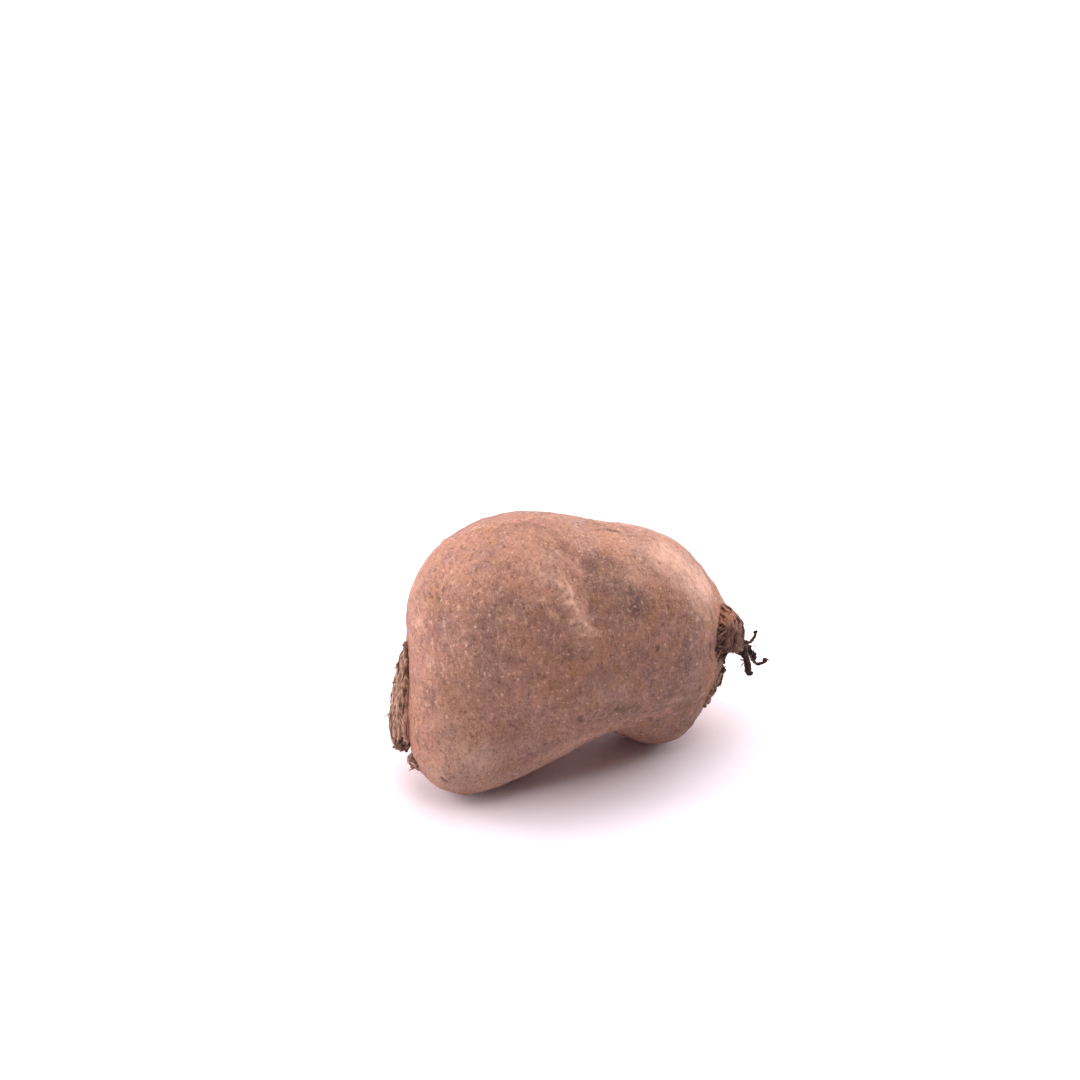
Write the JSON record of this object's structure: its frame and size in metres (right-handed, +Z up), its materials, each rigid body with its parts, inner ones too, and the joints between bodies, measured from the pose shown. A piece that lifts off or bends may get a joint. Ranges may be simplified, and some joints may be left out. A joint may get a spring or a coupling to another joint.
{
  "type": "chinese potato",
  "caption": "Small two-lobed root tuber with rough brown skin, a snapped stolon at one end and dry bark at the other, lying on three low bumps.",
  "frame": {"origin": "on the surface that the tuber rests on, under the middle of the whole part's box", "axes": "+X along the tuber from its scarred heel to the snapped stolon at its nose, +Z up"},
  "size_m": [0.08, 0.0484, 0.051],
  "materials": {
    "tuber_skin": "thin corky skin, matte and rough, pinkish brown with greyer patches and fine pale and dark specks",
    "stolon_fibre": "dry torn fibres, dark brown, matte",
    "dry_bark": "flaking dry bark, tan brown, matte and fibrous",
    "rootlet": "wiry dried root, very dark brown, matte"
  },
  "bodies": {
    "root": {"tuber": "tuber_skin", "stolon_stub": "stolon_fibre", "heel_bark_scale": "dry_bark", "heel_bark_nub": "dry_bark", "nose_bark_flake": "dry_bark", "hanging_rootlet": "rootlet", "curled_rootlet": "rootlet", "upturned_rootlet": "rootlet"}
  },
  "joints": []
}
